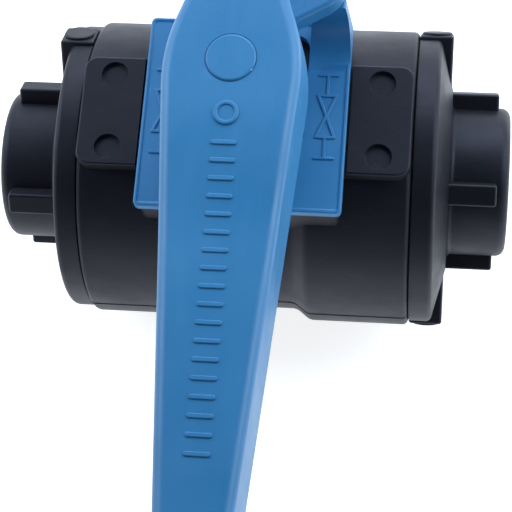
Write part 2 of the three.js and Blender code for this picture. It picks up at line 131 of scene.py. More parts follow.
def inset(outline, distance):
    """The outline, which runs counter-clockwise, drawn in by a distance."""
    if distance == 0:
        return list(outline)
    moved = []
    for i, here in enumerate(outline):
        before = (here - outline[i - 1]).normalized()
        after = (outline[(i + 1) % len(outline)] - here).normalized()
        normal = Vector((-before.y - after.y, before.x + after.x)).normalized()
        lean = max(normal.dot(Vector((-before.y, before.x))), 0.3)
        moved.append(here + normal * distance / lean)
    return moved


def rounding(bottom, top, low_edge=0.0, high_edge=0.0, steps=4, draft=0.0):
    """Levels (height, inset) of a block whose lower and upper edges are rounded and whose sides lean in."""
    levels = []
    for step in range(steps if low_edge else 0):
        angle = math.pi / 2 * step / steps
        levels.append((bottom + low_edge * (1 - math.cos(angle)), low_edge * (1 - math.sin(angle))))
    levels.append((bottom + low_edge, 0.0))
    levels.append((top - high_edge, 0.0))
    for step in range(1, steps + 1 if high_edge else 1):
        angle = math.pi / 2 * step / steps
        levels.append((top - high_edge * (1 - math.sin(angle)), high_edge * (1 - math.cos(angle))))
    return [(z, away + draft * (z - bottom)) for z, away in levels]


# ------------------------------------------------------------------ meshes
def to_object(name, bm, transform=None):
    bmesh.ops.recalc_face_normals(bm, faces=bm.faces)
    bm.transform(Matrix.Scale(MM, 4) @ (transform or Matrix.Identity(4)))
    mesh = bpy.data.meshes.new(name)
    bm.to_mesh(mesh)
    bm.free()
    piece = bpy.data.objects.new(name, mesh)
    bpy.context.scene.collection.objects.link(piece)
    return piece


def bridge(bm, lower, upper):
    """Faces between two rings. A ring of one vertex is a point on the axis."""
    count = max(len(lower), len(upper))
    for k in range(count):
        n = (k + 1) % count
        corners = [lower[k % len(lower)], lower[n % len(lower)], upper[n % len(upper)], upper[k % len(upper)]]
        kept = [v for i, v in enumerate(corners) if v not in corners[:i]]
        bm.faces.new(kept)


def lathe(name, profile, transform=None, segments=AROUND, swell=None, closed=False):
    """A turned shape from (radius, along) points. swell(radius, along, angle) adds to the radius."""
    bm = bmesh.new()
    rings = []
    for radius, along in profile:
        if radius < 1e-6:
            rings.append([bm.verts.new((0, 0, along))])
            continue
        ring = []
        for k in range(segments):
            turn = 2 * math.pi * k / segments
            reach = radius + (swell(radius, along, turn) if swell else 0)
            ring.append(bm.verts.new((reach * math.cos(turn), reach * math.sin(turn), along)))
        rings.append(ring)
    for lower, upper in zip(rings, rings[1:]):
        bridge(bm, lower, upper)
    if closed:
        bridge(bm, rings[-1], rings[0])
    return to_object(name, bm, transform)


def stack(name, outline, levels, transform=None):
    """A block built up in levels (height, inset) from one outline."""
    bm = bmesh.new()
    rings = [[bm.verts.new((p.x, p.y, z)) for p in inset(outline, away)] for z, away in levels]
    for lower, upper in zip(rings, rings[1:]):
        bridge(bm, lower, upper)
    bm.faces.new(rings[0])
    bm.faces.new(rings[-1])
    return to_object(name, bm, transform)


def rod(name, x, y, radius, bottom, top, edge=0.0, low_edge=0.0, steps=48):
    return stack(name, circle(x, y, radius, steps), rounding(bottom, top, low_edge, edge, 3))


def settle(piece):
    """Writes the piece's modifiers into its mesh."""
    graph = bpy.context.evaluated_depsgraph_get()
    mesh = bpy.data.meshes.new_from_object(piece.evaluated_get(graph))
    piece.modifiers.clear()
    piece.data = mesh


def combine(piece, other, operation):
    modifier = piece.modifiers.new("combine", "BOOLEAN")
    modifier.operation = operation
    modifier.solver = "MANIFOLD"
    modifier.object = other
    settle(piece)
    bpy.data.objects.remove(other, do_unlink=True)


def add_to(piece, *others):
    for other in others:
        combine(piece, other, "UNION")


def cut_from(piece, *others):
    for other in others:
        combine(piece, other, "DIFFERENCE")


def smooth(piece, degrees=32):
    """Smooth shading, with edges sharper than an angle kept crisp."""
    bm = bmesh.new()
    bm.from_mesh(piece.data)
    bmesh.ops.remove_doubles(bm, verts=bm.verts, dist=1e-7)
    bmesh.ops.dissolve_degenerate(bm, edges=bm.edges, dist=1e-7)
    bmesh.ops.dissolve_limit(bm, angle_limit=math.radians(0.02), verts=bm.verts, edges=bm.edges)
    limit = math.radians(degrees)
    for face in bm.faces:
        face.smooth = True
    for edge in bm.edges:
        edge.smooth = edge.calc_face_angle(0) < limit
    bm.to_mesh(piece.data)
    bm.free()
    weighted = piece.modifiers.new("weighted", "WEIGHTED_NORMAL")
    weighted.keep_sharp = True
    weighted.weight = 80


def show(piece, material, body, *nodes):
    """Finishes a piece: its shading, its material, the body it rides on and the CAD nodes it stands for."""
    smooth(piece)
    piece.data.materials.clear()
    piece.data.materials.append(material)
    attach(piece, body)
    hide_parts(*nodes)


# ------------------------------------------------------------------ materials
class Finish:
    """A material under construction: a node tree with short ways to add to it."""

    def __init__(self, name, slot):
        self.material = bpy.data.materials.new(name)
        self.material["slot"] = slot
        self.material.use_nodes = True
        self.tree = self.material.node_tree
        self.shader = self.tree.nodes["Principled BSDF"]
        self.where = self.add("ShaderNodeTexCoord").outputs["Object"]

    def add(self, kind, **inputs):
        node = self.tree.nodes.new(kind)
        for name, value in inputs.items():
            self.feed(node, name.replace("_", " "), value)
        return node

    def feed(self, node, name, value):
        socket = node.inputs[int(name)] if name.isdigit() else node.inputs[name]
        if isinstance(value, bpy.types.NodeSocket):
            self.tree.links.new(value, socket)
        else:
            socket.default_value = value

    def noise(self, scale, detail=3.0, roughness=0.5, where=None):
        made = self.add("ShaderNodeTexNoise", Scale=scale, Detail=detail, Roughness=roughness)
        self.feed(made, "Vector", where or self.where)
        return made.outputs["Fac"]

    def stretched(self, x, y, z):
        """The object's coordinates squeezed along some axes, for streaks."""
        made = self.add("ShaderNodeMapping", Scale=(x, y, z))
        self.feed(made, "Vector", self.where)
        return made.outputs["Vector"]

    def ramp(self, value, low, high, start=0.0, end=1.0):
        """Maps low..high on to start..end, and clamps it."""
        made = self.add("ShaderNodeMapRange", Value=value)
        self.feed(made, "From Min", low)
        self.feed(made, "From Max", high)
        self.feed(made, "To Min", start)
        self.feed(made, "To Max", end)
        return made.outputs["Result"]

    def maths(self, operation, a, b=0.0):
        made = self.add("ShaderNodeMath")
        made.operation = operation
        self.feed(made, "0", a)
        self.feed(made, "1", b)
        return made.outputs[0]

    def mix(self, amount, first, second):
        made = self.add("ShaderNodeMix")
        made.data_type = "RGBA"
        self.tree.links.new(amount, made.inputs[0])
        for socket, value in ((made.inputs[6], first), (made.inputs[7], second)):
            if isinstance(value, bpy.types.NodeSocket):
                self.tree.links.new(value, socket)
            else:
                socket.default_value = (*value, 1)
        return made.outputs[2]

    def bump(self, height, distance, strength=1.0, below=None):
        made = self.add("ShaderNodeBump", Strength=strength, Distance=distance)
        self.feed(made, "Height", height)
        if below:
            self.feed(made, "Normal", below)
        return made.outputs["Normal"]

    def set(self, **inputs):
        for name, value in inputs.items():
            self.feed(self.shader, name.replace("_", " "), value)
        return self

    def specks(self, scale, size, share):
        """Sparse round specks: dust on a moulding."""
        cells = self.add("ShaderNodeTexVoronoi", Scale=scale)
        self.feed(cells, "Vector", self.where)
        near = self.maths("LESS_THAN", cells.outputs["Distance"], size)
        draw = self.add("ShaderNodeSeparateColor", Color=cells.outputs["Color"]).outputs[0]
        chosen = self.maths("LESS_THAN", draw, share)
        return self.maths("MULTIPLY", near, chosen)

    def worn_edges(self):
        """High where the surface turns over an edge."""
        point = self.add("ShaderNodeNewGeometry").outputs["Pointiness"]
        return self.maths("MULTIPLY", self.ramp(point, 0.53, 0.62), self.noise(900, 2))


def black_nylon():
    """Glass-filled nylon: near black, faintly violet, with a fibrous skin, flow lines and a little dust."""
    f = Finish("black_nylon", "black_nylon")
    cloud = f.ramp(f.noise(55, 4), 0.35, 0.65)
    colour = f.mix(cloud, (0.0060, 0.0060, 0.0085), (0.0095, 0.0095, 0.0130))
    fibres = f.ramp(f.noise(1, 3, 0.65, f.stretched(260, 1500, 1500)), 0.56, 0.74)
    colour = f.mix(f.maths("MULTIPLY", fibres, 0.3), colour, (0.022, 0.022, 0.030))
    colour = f.mix(f.specks(230, 0.045, 0.035), colour, (0.55, 0.55, 0.56))
    rough = f.ramp(f.noise(120, 5, 0.6), 0.3, 0.7, 0.42, 0.56)
    skin = f.bump(f.noise(2600, 2), 0.00006, 0.35)
    skin = f.bump(f.noise(1, 3, 0.6, f.stretched(90, 420, 420)), 0.00012, 0.25, skin)
    f.set(Specular_IOR_Level=0.36, Specular_Tint=(0.76, 0.78, 0.98, 1.0))
    return f.set(Base_Color=colour, Roughness=rough, Normal=skin).material


# Along the lever's Y in metres: the painted shade is full below the first and gone above the second.
TIP_SHADE_FROM = -0.075
TIP_SHADE_TO = 0.005


def blue_plastic(name, slot, low, high, edge_wear_and_tip_shade=0.0):
    """Moulded blue plastic: soft clouds, orange peel, rubbed edges, and painted shade that darkens it toward
    the lever's tip.
    """
    f = Finish(name, slot)
    cloud = f.ramp(f.noise(38, 4), 0.32, 0.68)
    colour = f.mix(cloud, low, high)
    flow = f.ramp(f.noise(1, 3, 0.55, f.stretched(300, 60, 300)), 0.5, 0.8)
    pale = tuple(min(1.0, c * 1.25 + 0.02) for c in high)
    colour = f.mix(f.maths("MULTIPLY", flow, 0.18), colour, pale)
    if edge_wear_and_tip_shade:
        colour = f.mix(f.maths("MULTIPLY", f.worn_edges(), 0.4), colour, pale)
        # Painted shade: the colour darkens toward the lever's tip and stands in for light falling off along
        # the arm.
        along = f.add("ShaderNodeSeparateXYZ", Vector=f.where).outputs["Y"]
        painted_tip_shade = tuple(c * 0.5 for c in low)
        colour = f.mix(f.ramp(along, TIP_SHADE_FROM, TIP_SHADE_TO, edge_wear_and_tip_shade, 0.0), colour, painted_tip_shade)
    colour = f.mix(f.specks(260, 0.04, 0.02), colour, (0.6, 0.75, 0.9))
    rough = f.ramp(f.noise(90, 5, 0.6), 0.3, 0.7, 0.34, 0.48)
    skin = f.bump(f.noise(1500, 2), 0.00006, 0.3)
    skin = f.bump(f.noise(160, 2), 0.0002, 0.12, skin)
    return f.set(Base_Color=colour, Roughness=rough, Normal=skin).material


def ball_nylon():
    """The ball and stem: the same nylon, machined, so smoother, with fine turning marks."""
    f = Finish("ball_nylon", "ball_nylon")
    colour = f.mix(f.ramp(f.noise(80, 4), 0.35, 0.65), (0.018, 0.018, 0.02), (0.03, 0.03, 0.034))
    rough = f.ramp(f.noise(400, 4), 0.3, 0.7, 0.18, 0.32)
    marks = f.noise(1, 2, 0.5, f.stretched(120, 120, 5000))
    return f.set(Base_Color=colour, Roughness=rough, Normal=f.bump(marks, 0.00002, 0.4)).material


def seat_ptfe():
    """White fluoropolymer: waxy, slightly uneven."""
    f = Finish("seat_ptfe", "seat_ptfe")
    colour = f.mix(f.ramp(f.noise(120, 4), 0.35, 0.65), (0.78, 0.76, 0.71), (0.88, 0.87, 0.83))
    rough = f.ramp(f.noise(300, 3), 0.3, 0.7, 0.32, 0.5)
    return f.set(Base_Color=colour, Roughness=rough, Normal=f.bump(f.noise(1800, 2), 0.00003, 0.4)).material


def seal_rubber():
    """Black nitrile: dull, with a bloom of talc."""
    f = Finish("seal_rubber", "seal_rubber")
    bloom = f.ramp(f.noise(600, 5, 0.7), 0.5, 0.8, 0.0, 0.4)
    colour = f.mix(bloom, (0.008, 0.008, 0.008), (0.05, 0.05, 0.05))
    rough = f.ramp(f.noise(500, 3), 0.3, 0.7, 0.6, 0.85)
    return f.set(Base_Color=colour, Roughness=rough, Normal=f.bump(f.noise(3000, 2), 0.00003, 0.5)).material


def turned_metal(name, slot, low, high, smoothest):
    """Turned stainless steel or brass, with tool marks round the axis and a little tarnish."""
    f = Finish(name, slot)
    stain = f.ramp(f.noise(250, 5, 0.6), 0.35, 0.7)
    marks = f.noise(1, 2, 0.5, f.stretched(200, 200, 9000))
    rough = f.ramp(f.noise(700, 4), 0.3, 0.7, smoothest, smoothest + 0.18)
    f.set(Base_Color=f.mix(stain, low, high), Roughness=rough, Normal=f.bump(marks, 0.00002, 0.5))
    return f.set(Metallic=1.0).material


LEVER_BLUES = (0.023, 0.180, 0.388), (0.032, 0.204, 0.422)
PLATE_BLUES = (0.026, 0.190, 0.410), (0.035, 0.216, 0.446)
BLACK = black_nylon()
BLUE = blue_plastic("lever_blue", "blue_plastic", *LEVER_BLUES, edge_wear_and_tip_shade=0.3)
PLATE_BLUE = blue_plastic("plate_blue", "plate_plastic", *PLATE_BLUES)
BALL_BLACK = ball_nylon()
WHITE = seat_ptfe()
RUBBER = seal_rubber()
STEEL = turned_metal("stainless", "stainless", (0.56, 0.56, 0.54), (0.68, 0.68, 0.66), 0.2)
BRASS = turned_metal("insert_brass", "insert_brass", (0.52, 0.35, 0.12), (0.66, 0.47, 0.19), 0.22)


# ------------------------------------------------------------------ body casing
CAVITY_RADIUS = 19.8
CAVITY_HALF = 17.2
SOCKET_RADIUS = 24.7
WAIST = 27.6
WAIST_HALF = 9.4
SHOULDER_END = 12.2
PAD_TOP = 30.3
PAD_HALF_X = 31.9
PAD_HALF_Y = 11.2
PAD_CORNER = 2.6
RECESS_RADIUS = 2.5
RECESS_DEPTH = 0.8
RECESS_X = 25.8
RECESS_Y = 7.5
PAD_ROOT = 20
BLOCK_HALF = 19.0
BLOCK_TOP = 28.9
BLOCK_CORNER = 1.2
PLATFORM_GAP = 1.1
NECK_RADIUS = 9.2
NECK_TOP = 30.4
STEM_BORE = 5.2
BUSH_BORE = 7.5
BUSH_FLOOR = 27.0
FLANGE_POCKET = 8.0
POCKET_TOP = 21.0
STOP_ROOT = 25
STOP_TOP = 31.6
STOP_INNER = 9.6
STOP_OUTER = 11.2
STOP_OVERLAP = 0.8
STOP_PLAY = 3
TOOTH_HALF = 11
QUARTER = 90
FIN_RISE = 0.13
FIN_HALF = 0.14


def body_profile(grow=0.0):
    """The barrel's outside as (radius, along): rounded ends, a waist in the middle, soft shoulders."""
    waist, barrel = WAIST + grow, BODY_RADIUS + grow
    right = soften([(waist, 0, 0), (waist, WAIST_HALF, 3.0), (barrel, SHOULDER_END, 2.5),
                    (barrel, BODY_HALF, 1.0), (SOCKET_RADIUS, BODY_HALF, 0)], steps=7)
    left = [Vector((p.x, -p.y)) for p in reversed(right[1:])]
    return left + right


def eased_hole(x, y, radius, bottom, top, lip=0.25, floor=False):
    """A cutter for a round hole with soft lips. With floor it is blind and has a soft foot."""
    wide = radius + lip
    if floor:
        profile = [(0, bottom, 0), (radius, bottom, 0.2)]
    else:
        profile = [(0, bottom - 1, 0), (wide, bottom - 1, 0), (wide, bottom, 0), (radius, bottom + lip, 0)]
    profile += [(radius, top - lip, lip * 0.4), (wide, top + 0.001, 0), (wide, top + 1, 0), (0, top + 1, 0)]
    return lathe("hole", soften(profile, steps=3), Matrix.Translation((x, y, 0)), 48)


def band(inner, outer, start, end, bottom, top, edge=0.2):
    """Part of a ring in plan, from one angle to another in degrees."""
    outline = arc(0, 0, outer, start, end, 32) + arc(0, 0, inner, end, start, 32)
    return stack("band", outline, rounding(bottom, top, 0, edge, 3))


def parting_fin():
    """The fine raised line where the halves of the mould meet, level with the pipe's axis."""
    edge = [Vector((p.y, p.x)) for p in body_profile(FIN_RISE)]
    back = [Vector((p.x, -p.y)) for p in edge]
    return stack("fin", list(reversed(edge)) + back, rounding(-FIN_HALF, FIN_HALF, 0.1, 0.1, 2))


def pads():
    """Both accessory pads as one slab; its middle is lost in the block that carries the plate."""
    outline = rectangle(-PAD_HALF_X, PAD_HALF_X, -PAD_HALF_Y, PAD_HALF_Y, PAD_CORNER, 8)
    return stack("pads", outline, rounding(PAD_ROOT, PAD_TOP, 0, 0.45))


def body_cavity():
    """The room for the ball, and a socket at each end for the end connectors."""
    out, half = BODY_HALF + 1, CAVITY_HALF
    corners = [(0, -out), (SOCKET_RADIUS, -out), (SOCKET_RADIUS, -half), (CAVITY_RADIUS, -half),
               (CAVITY_RADIUS, half), (SOCKET_RADIUS, half), (SOCKET_RADIUS, out), (0, out)]
    return lathe("cavity", corners, ALONG_X)


def stem_passage():
    """The stepped hole down the neck: the flange's pocket, the bore, and the bush's seat at the top."""
    out = STOP_TOP + 1
    return [rod("pocket", 0, 0, FLANGE_POCKET, 0, POCKET_TOP), rod("bore", 0, 0, STEM_BORE, 0, out),
            rod("bush_bore", 0, 0, BUSH_BORE, BUSH_FLOOR, out)]


def body_casing():
    ends = [(0, -BODY_HALF)] + [tuple(p) for p in body_profile()] + [(0, BODY_HALF)]
    body = lathe("valve_body_moulding", ends, ALONG_X)
    side, reach = BLOCK_HALF + PLATFORM_GAP, BLOCK_HALF + 6
    add_to(body, pads())
    platform = rectangle(-side, side, -reach, reach, 0.5)
    cut_from(body, stack("platform", platform, rounding(BLOCK_TOP, PAD_TOP + 2)))
    block = rectangle(-BLOCK_HALF, BLOCK_HALF, -BLOCK_HALF, BLOCK_HALF, BLOCK_CORNER, 8)
    add_to(body, stack("block", block, rounding(PAD_ROOT, BLOCK_TOP + 0.002, 0, 0.3)))
    add_to(body, rod("neck", 0, 0, NECK_RADIUS, PAD_ROOT, NECK_TOP, 0.2))
    clear = TOOTH_HALF + STOP_PLAY
    inner = STOP_INNER - STOP_OVERLAP
    add_to(body, band(inner, STOP_OUTER, QUARTER + clear, 360 - clear, STOP_ROOT, STOP_TOP))
    add_to(body, parting_fin())
    for x in (-RECESS_X, RECESS_X):
        for y in (-RECESS_Y, RECESS_Y):
            cut_from(body, eased_hole(x, y, RECESS_RADIUS, PAD_TOP - RECESS_DEPTH, PAD_TOP, 0.12, floor=True))
    cut_from(body, body_cavity(), *stem_passage())
    return body


# ------------------------------------------------------------------ end connectors
PITCH = 1.814
THREAD_MEAN = 9.9
THREAD_DEPTH = 0.57
THREAD_START = 33.6
PORT_MOUTH = 11.1
MOUTH_BEVEL = 0.9
THREAD_END = END_FACE - MOUTH_BEVEL
BORE = 9.3
BOSS_RADIUS = 15.0
CONE_FOOT = 18.2
CONE_END = 39.2
COLLAR_RADIUS = 28.9
COLLAR_START = BODY_HALF + 0.1
COLLAR_END = 36.6
SPIGOT_RADIUS = 24.4
SPIGOT_NOSE = 10.5
NOSE_RADIUS = 19.5
NOSE_END = 17.5
SEAL_START = 28.3
SEAL_END = 30.9
SEAL_FLOOR = 22.2
SEAT_RADIUS = 14.5
SEAT_FLOOR = 15.3
RING_INNER = 11.3
RING_OUTER = 13.7
RING_FLOOR = 17.4
RIB_COUNT = 4
RIB_WIDTH = 4.3
RIB_TOP = 18.0
RIB_START = 36.5
RIB_END = 48.5
GUSSET_WIDTH = 7.3
GUSSET_TOP = 29.5
GUSSET_END = 38.9
DISC_RADIUS = 3.0
DISC_RISE = 0.5
DISC_X = 35.6
RIGHT_TURN = 30.0
LEFT_TURN = 48.5


def pipe_thread(radius, along, turn):
    """A rounded pipe thread: the radius rises and falls once a pitch, and fades out at its ends."""
    if abs(radius - THREAD_MEAN) > 0.01:
        return 0
    phase = along / PITCH - turn / (2 * math.pi)
    wave = math.asin(math.sin(2 * math.pi * phase)) / (math.pi / 2)
    flat = max(-1.0, min(1.0, wave * 1.25))
    fade = min(1.0, (along - THREAD_START) / 1.5, (THREAD_END - along) / 0.8)
    return THREAD_DEPTH * flat * max(0.0, fade)


def connector_profile():
    """Round the section: nose, seal groove, collar, cone, boss, thread, bore, and the seat's pocket."""
    corners = [
        (SEAT_RADIUS, SPIGOT_NOSE, 0.3), (NOSE_RADIUS, SPIGOT_NOSE, 0.6), (NOSE_RADIUS, NOSE_END, 0.3),
        (SPIGOT_RADIUS, NOSE_END, 0.6), (SPIGOT_RADIUS, SEAL_START, 0), (SEAL_FLOOR, SEAL_START, 0.2),
        (SEAL_FLOOR, SEAL_END, 0.2), (SPIGOT_RADIUS, SEAL_END, 0), (SPIGOT_RADIUS, COLLAR_START, 0.2),
        (COLLAR_RADIUS, COLLAR_START, 0.35), (COLLAR_RADIUS, COLLAR_END, 1.2), (CONE_FOOT, CONE_END, 2.0),
        (BOSS_RADIUS, CONE_END + 0.2, 0.9), (BOSS_RADIUS, END_FACE, 1.9), (PORT_MOUTH, END_FACE, 0.25),
        (THREAD_MEAN, THREAD_END, 0)]
    length = THREAD_END - THREAD_START
    steps = int(length / (PITCH / 8))
    for step in range(1, steps):
        corners.append((THREAD_MEAN, THREAD_END - length * step / steps, 0))
    corners += [
        (THREAD_MEAN, THREAD_START, 0), (BORE, THREAD_START, 0.15), (BORE, SEAT_FLOOR, 0.2),
        (RING_INNER, SEAT_FLOOR, 0), (RING_INNER, RING_FLOOR, 0), (RING_OUTER, RING_FLOOR, 0),
        (RING_OUTER, SEAT_FLOOR, 0), (SEAT_RADIUS, SEAT_FLOOR, 0)]
    return soften(corners, closed=True, steps=6)


def end_connector(name, turn, flip):
    """Built on the +X side, turned to where its ribs sit, and swung round to -X for the left end."""
    made = lathe(name, connector_profile(), ALONG_X, swell=pipe_thread, closed=True)
    buried = (BOSS_RADIUS + PORT_MOUTH) / 2
    for quarter in range(RIB_COUNT):
        outline = rectangle(RIB_START, RIB_END, -RIB_WIDTH / 2, RIB_WIDTH / 2, 0.6)
        spin = Matrix.Rotation(math.radians(turn + 90 * quarter), 4, "X")
        add_to(made, stack("rib", outline, rounding(buried, RIB_TOP, 0, 0.55), spin))
    for half in (90, 270):
        spin = Matrix.Rotation(math.radians(turn + half), 4, "X")
        outline = rectangle(COLLAR_START + 0.02, GUSSET_END, -GUSSET_WIDTH / 2, GUSSET_WIDTH / 2, 0.65)
        add_to(made, stack("gusset", outline, rounding(buried, GUSSET_TOP, 0, 0.55), spin))
        disc = circle(DISC_X, 0, DISC_RADIUS, 40)
        levels = rounding(GUSSET_TOP - 1, GUSSET_TOP + DISC_RISE, 0, 0.3, 3)
        add_to(made, stack("disc", disc, levels, spin))
    if flip:
        made.data.transform(Matrix.Rotation(math.pi, 4, "Z"))
    return made


# ------------------------------------------------------------------ ball
SLOT_HALF = 3.3
SLOT_FLOOR = 11.5


def ball():
    """The ball with its waterway along Y, soft at both mouths, and the slot that the stem drives."""
    radius, bore = BALL_RADIUS, BORE
    round_side = [tuple(p) for p in arc(0, 0, radius, -88, 88, 60)]
    made = lathe("valve_ball", [(0, -radius)] + round_side + [(0, radius)])
    mouth = math.sqrt(radius * radius - bore * bore)
    out, flare = radius + 2, bore + 2.5
    corners = [(0, -out, 0), (flare, -out, 0), (flare, -mouth - 2.2, 0), (bore, -mouth + 0.6, 2.5),
               (bore, mouth - 0.6, 2.5), (flare, mouth + 2.2, 0), (flare, out, 0), (0, out, 0)]
    cut_from(made, lathe("waterway", soften(corners), Matrix.Rotation(math.radians(90), 4, "X"), 96))
    slot = rectangle(-radius - 1, radius + 1, -SLOT_HALF, SLOT_HALF, 0.4, 3)
    cut_from(made, stack("slot", slot, rounding(SLOT_FLOOR, radius + 1, 0.3)))
    return made


# ------------------------------------------------------------------ position plate
PLATE_BOTTOM = 29.2
PLATE_FACE = 30.9
PLATE_RIM_TOP = 31.15
PLATE_RIM = 0.55
WINDOW_FRONT = 12.4
WINDOW_HALF = 11.6
WINDOW_BACK = 16.6
WINDOW_CORNER = 2.5
SIGN_X = 15.6
SIGN_LENGTH = 17.0
SIGN_HALF_WIDTH = 1.75
STROKE = 0.6
LUG_X = 12.6
LUG_Y = 20.5
LUG_RADIUS = 4.9
EYE_RADIUS = 3.5
LUG_BOTTOM = 40.4
LUG_TOP = 42.2
WALL_FOOT = 11.75
WALL_LEFT = 12.6
WALL_RIGHT = 18.7
WALL_INNER = 17.2
WALL_HOLLOW = 8.0
CLIP_X = 15.8
CLIP_Y = 13.5
CLIP_HALF_X = 1.4
CLIP_HALF_Y = 2.2
CLIP_BOTTOM = 26.4


def gather(name, parts):
    """Joins separate meshes that don't touch, so that one boolean places them all."""
    bm = bmesh.new()
    for part in parts:
        bm.from_mesh(part.data)
        bpy.data.objects.remove(part, do_unlink=True)
    mesh = bpy.data.meshes.new(name)
    bm.to_mesh(mesh)
    bm.free()
    joined = bpy.data.objects.new(name, mesh)
    bpy.context.scene.collection.objects.link(joined)
    return joined


def stroke(x0, y0, x1, y1, bottom, top):
    """A raised line with round ends."""
    way = math.degrees(math.atan2(y1 - y0, x1 - x0))
    outline = arc(x1, y1, STROKE / 2, way - 90, way + 90, 6) + arc(x0, y0, STROKE / 2, way + 90, way + 270, 6)
    return stack("stroke", outline, rounding(bottom, top, 0, 0.18, 2))


def valve_sign(x):
    """The usual sign for a shut valve: a bow tie on a pipe line, closed off by a bar at each end."""
    wing, half, wide = SIGN_LENGTH / 4, SIGN_LENGTH / 2, SIGN_HALF_WIDTH
    lines = [(-wide, wing, wide, wing), (-wide, -wing, wide, -wing), (-wide, wing, wide, -wing),
             (wide, wing, -wide, -wing), (0, wing, 0, half), (0, -wing, 0, -half),
             (-wide, half, wide, half), (-wide, -half, wide, -half)]
    return [stroke(x + a, b, x + c, d, PLATE_FACE - 0.4, PLATE_FACE + 0.28) for a, b, c, d in lines]


def lock_wall():
    """The upright wall at the plate's back corner, which grows out of the plate in a hollow curve."""
    outer = PLATE_HALF_X - 0.05
    outline = soften([(WALL_FOOT, PLATE_BOTTOM + 1, 0), (outer, PLATE_BOTTOM + 1, 0), (outer, PLATE_FACE, 0),
                      (WALL_RIGHT, LUG_TOP, 0.6), (WALL_LEFT, LUG_TOP, 0.6),
                      (WALL_FOOT + 0.05, PLATE_FACE + 2.5, 2.0)], closed=True)
    upright = Matrix.Rotation(math.radians(90), 4, "X")
    front = WALL_INNER - WALL_HOLLOW
    wall = stack("wall", outline, rounding(-PLATE_HALF_Y + 0.05, -front, 0.5, 0), upright)
    curve = [Vector((PLATE_HALF_Y, PLATE_BOTTOM)), Vector((PLATE_HALF_Y, LUG_TOP + 1)),
             Vector((WALL_INNER, LUG_TOP + 1))]
    curve += arc(front, PLATE_FACE + WALL_HOLLOW, WALL_HOLLOW, 0, -88, 20) + [Vector((front, PLATE_BOTTOM))]
    sideways = Matrix(((0, 0, 1, 0), (1, 0, 0, 0), (0, 1, 0, 0), (0, 0, 0, 1)))
    combine(wall, stack("hollow", curve, rounding(0, PLATE_HALF_X), sideways), "INTERSECT")
    return wall


def plate_window():
    """Square at the back and round at the front, where it follows the stop band."""
    half = WINDOW_HALF
    turn = math.degrees(math.acos(half / WINDOW_FRONT))
    outline = arc(0, 0, WINDOW_FRONT, 180 + turn, 360 - turn, 32)
    outline += soften([(half, 0, 0), (half, WINDOW_BACK, WINDOW_CORNER), (-half, WINDOW_BACK, WINDOW_CORNER),
                       (-half, 0, 0)])
    return stack("window", outline, rounding(PLATE_BOTTOM - 1, PLATE_RIM_TOP + 1))


def sunk_face():
    """A cutter that leaves the plate's rim standing round a slightly lower face."""
    x, y = PLATE_HALF_X - PLATE_RIM, PLATE_HALF_Y - PLATE_RIM
    levels = [(PLATE_FACE, 0.55), (PLATE_FACE + 0.04, 0.3), (PLATE_FACE + 0.14, 0.08), (PLATE_RIM_TOP, 0),
              (PLATE_RIM_TOP + 1, 0)]
    return stack("sunk", rectangle(-x, x, -y, y, 0.8), levels)


def plate_clips():
    clips = []
    for x in (-CLIP_X, CLIP_X):
        for y in (-CLIP_Y, CLIP_Y):
            outline = rectangle(x - CLIP_HALF_X, x + CLIP_HALF_X, y - CLIP_HALF_Y, y + CLIP_HALF_Y, 0.4)
            clips.append(stack("clip", outline, rounding(CLIP_BOTTOM, PLATE_FACE - 0.5, 0.3)))
    return gather("clips", clips)


def position_plate():
    edge = rectangle(-PLATE_HALF_X, PLATE_HALF_X, -PLATE_HALF_Y, PLATE_HALF_Y, 1.0)
    plate = stack("closed_sign_plate", edge, rounding(PLATE_BOTTOM, PLATE_RIM_TOP, 0.2, 0.3))
    cut_from(plate, sunk_face(), plate_window())
    add_to(plate, plate_clips())
    add_to(plate, lock_wall())
    for mark in valve_sign(SIGN_X) + valve_sign(-SIGN_X):
        add_to(plate, mark)
    add_to(plate, rod("lug", LUG_X, LUG_Y, LUG_RADIUS, LUG_BOTTOM, LUG_TOP, 0.4, 0.4))
    cut_from(plate, eased_hole(LUG_X, LUG_Y, EYE_RADIUS, LUG_BOTTOM, LUG_TOP, 0.35))
    return plate


# ------------------------------------------------------------------ lever
LEVER_BOTTOM = 42.6
LEVER_TOP = 56.0
HEAD_HALF = 13.3
SHOULDER = 2.3
HEAD_LEAN = 0.34
TAPER_FROM = -8.0
TAPER = 0.0725
DRAFT = 0.05
ARM_DROP = 1.6
DROP_END = -36
DROP_LENGTH = 28
CROWN = 0.2
LEVER_WALL = 2.4
CELL_COUNT = 7
CELL_START = -17.0
CELL_END = -98.0
CELL_ROOF = 51.9
CELL_RIB = 2.0
CELL_CORNER = 1.2
HUB_RADIUS = 11.2
HUB_BOTTOM = 32.2
SOCKET_HALF = 3.8
SOCKET_ROOF = 44.3
NECK_ROOM = 5.2
NECK_ROOM_TOP = 32.9
SCREW_HOLE = 2.4
WEB_TOP = 46.4
TOOTH_BOTTOM = 29.5
EAR_RADIUS = 6.1
EAR_TOP = 47.0
EAR_LEAN = 31
EAR_RUN = 12.5
EAR_ROOT = (5.5, 21.5)
CAP_RADIUS = 4.6
CAP_BOTTOM = 54.6
PLUG_OUTER = 4.2
PLUG_INNER = 3.2
PLUG_BOTTOM = 52.0
GRIP_COUNT = 18
GRIP_START = -16.0
GRIP_END = -71.0
GRIP_HALF_X = 2.3
GRIP_HALF_Y = 0.45
GRIP_RISE = 0.26
GRIP_ROOT = 0.6
GRIP_RING_Y = -10.5
GRIP_RING_WIDTH = 0.8


def lever_half(y):
    return HEAD_HALF + TAPER * y


